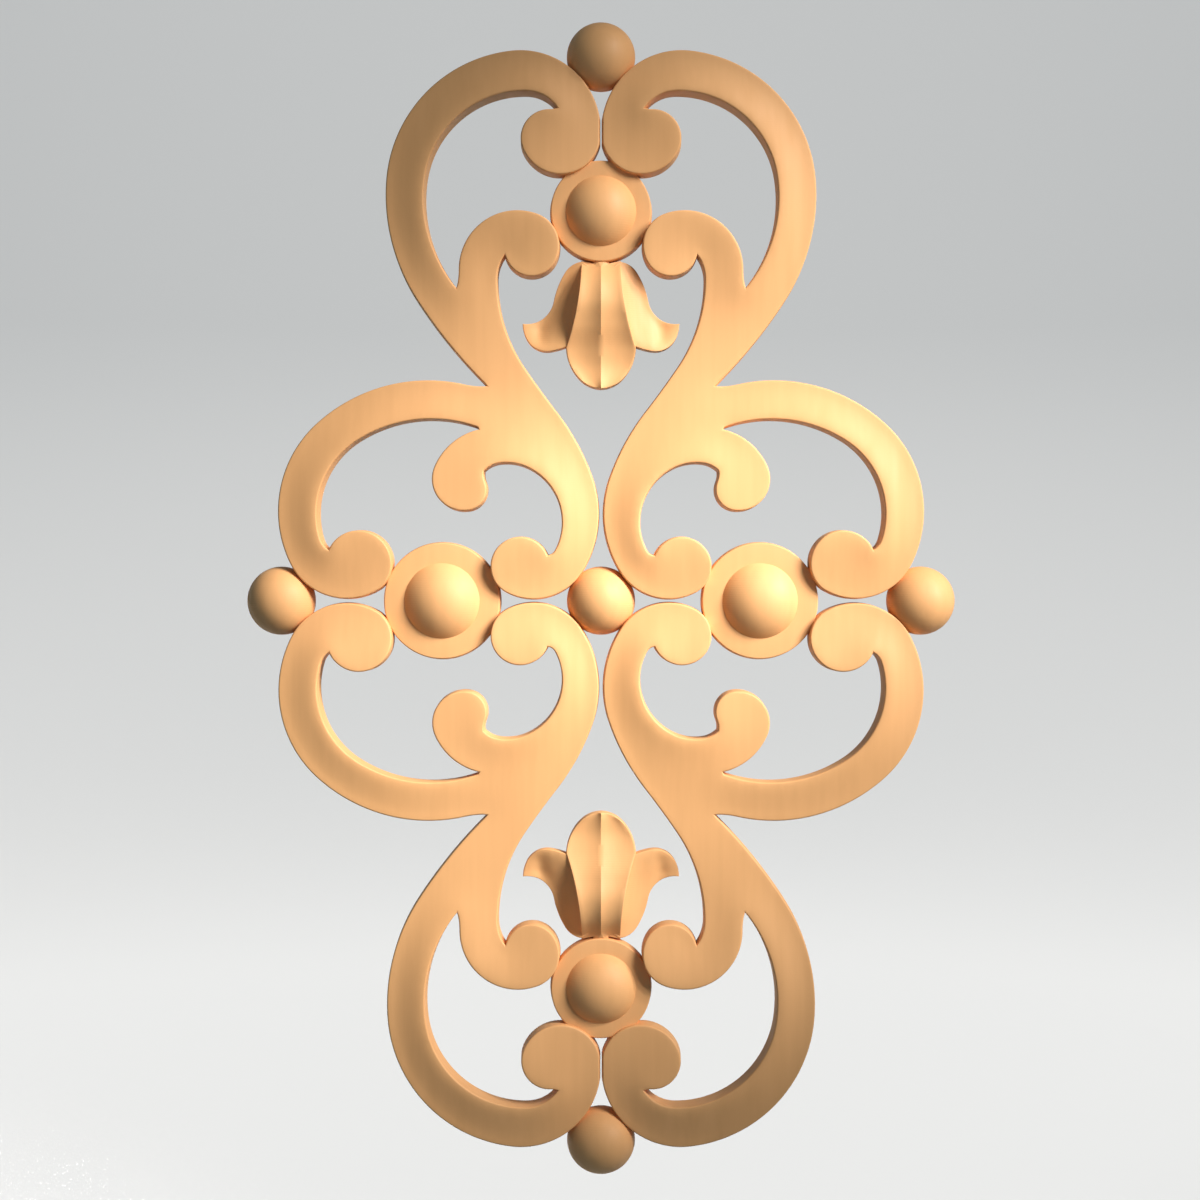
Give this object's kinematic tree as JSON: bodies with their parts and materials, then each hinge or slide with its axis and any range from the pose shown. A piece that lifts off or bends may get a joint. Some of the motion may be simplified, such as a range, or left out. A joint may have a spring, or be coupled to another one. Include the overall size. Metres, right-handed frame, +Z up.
{
  "type": "scroll onlay",
  "caption": "Flat-backed carved wooden onlay of mirrored open scrolls with domed discs, balls and hanging leaves, fixed to a door or panel as decoration.",
  "frame": {"origin": "middle of the flat back, behind the middle ball", "axes": "+Z up along the onlay's height, +X to the right seen from the front, +Y out of the back into the panel; the carved face looks along -Y"},
  "size_m": [0.2826, 0.0138, 0.46],
  "materials": {
    "wood": "smooth machined wood, matt to satin"
  },
  "bodies": {
    "root": {"scroll_onlay": "wood"}
  },
  "joints": []
}
